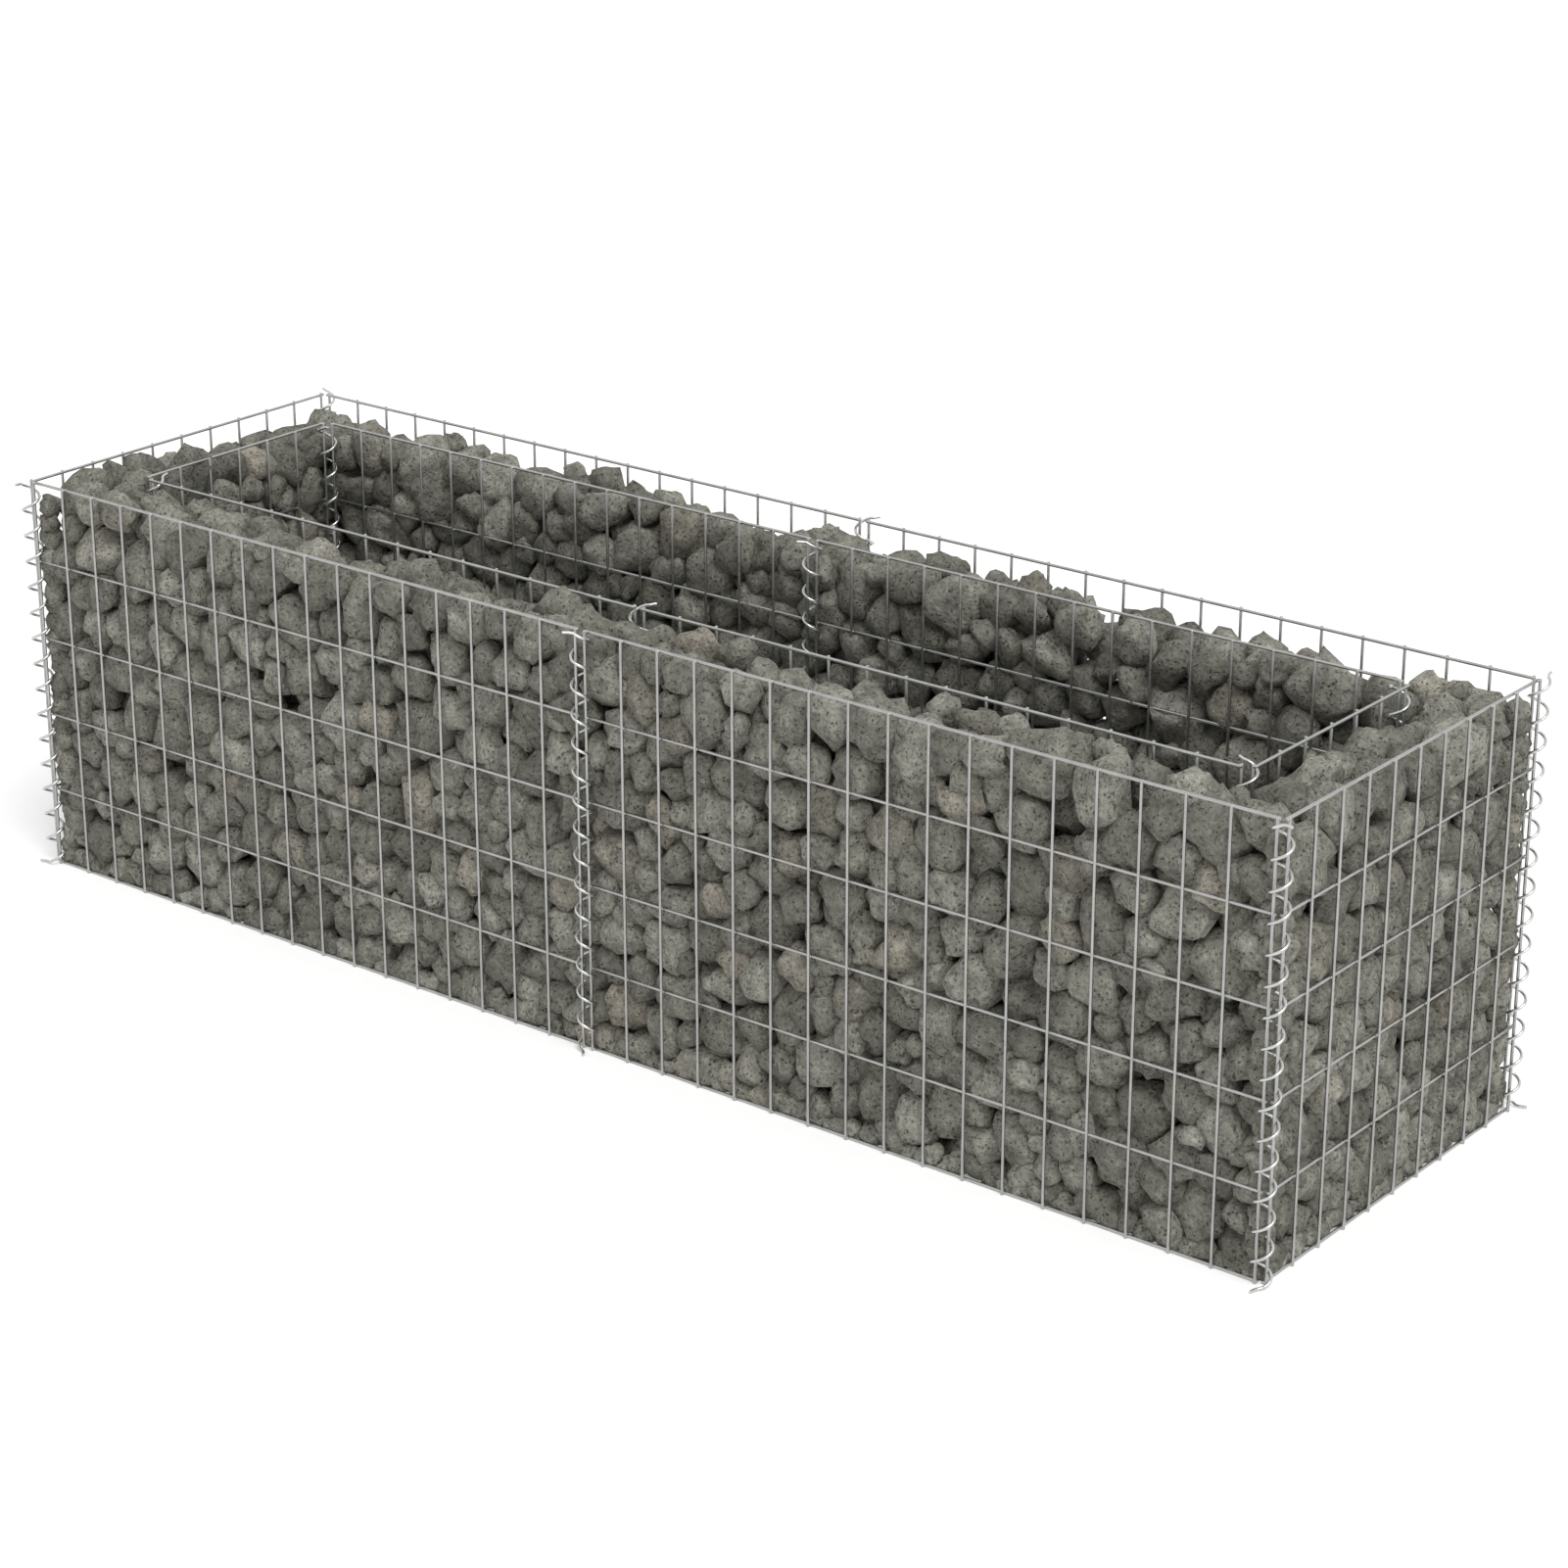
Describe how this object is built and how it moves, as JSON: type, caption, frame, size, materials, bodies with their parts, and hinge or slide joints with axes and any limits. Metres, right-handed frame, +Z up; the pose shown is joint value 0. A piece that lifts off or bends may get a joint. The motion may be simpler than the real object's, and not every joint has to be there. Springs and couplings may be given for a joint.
{
  "type": "gabion raised bed",
  "caption": "Free-standing raised bed: a ring wall of rounded cobbles held between an outer and an inner basket of welded wire mesh, around an open planting pit.",
  "frame": {"origin": "centre of the bed's footprint, at ground level", "axes": "+X along the bed's length, the front long side faces -Y, +Z up"},
  "size_m": [1.8118, 0.5434, 0.504],
  "materials": {
    "cobbles": "rounded river stone, matt",
    "mesh_wire": "galvanised, satin",
    "spiral_wire": "galvanised, satin"
  },
  "bodies": {
    "root": {"front_left_stones": "cobbles", "front_right_stones": "cobbles", "back_left_stones": "cobbles", "back_right_stones": "cobbles", "left_end_stones": "cobbles", "right_end_stones": "cobbles", "front_left_panel": "mesh_wire", "front_right_panel": "mesh_wire", "back_left_panel": "mesh_wire", "back_right_panel": "mesh_wire", "left_end_panel": "mesh_wire", "right_end_panel": "mesh_wire", "pit_front_left_panel": "mesh_wire", "pit_front_right_panel": "mesh_wire", "pit_back_left_panel": "mesh_wire", "pit_back_right_panel": "mesh_wire", "pit_left_panel": "mesh_wire", "pit_right_panel": "mesh_wire", "front_spiral": "spiral_wire", "back_spiral": "spiral_wire", "front_left_spiral": "spiral_wire", "front_right_spiral": "spiral_wire", "back_left_spiral": "spiral_wire", "back_right_spiral": "spiral_wire", "pit_front_spiral": "spiral_wire", "pit_back_spiral": "spiral_wire", "pit_front_left_spiral": "spiral_wire", "pit_front_right_spiral": "spiral_wire", "pit_back_left_spiral": "spiral_wire", "pit_back_right_spiral": "spiral_wire"}
  },
  "joints": []
}
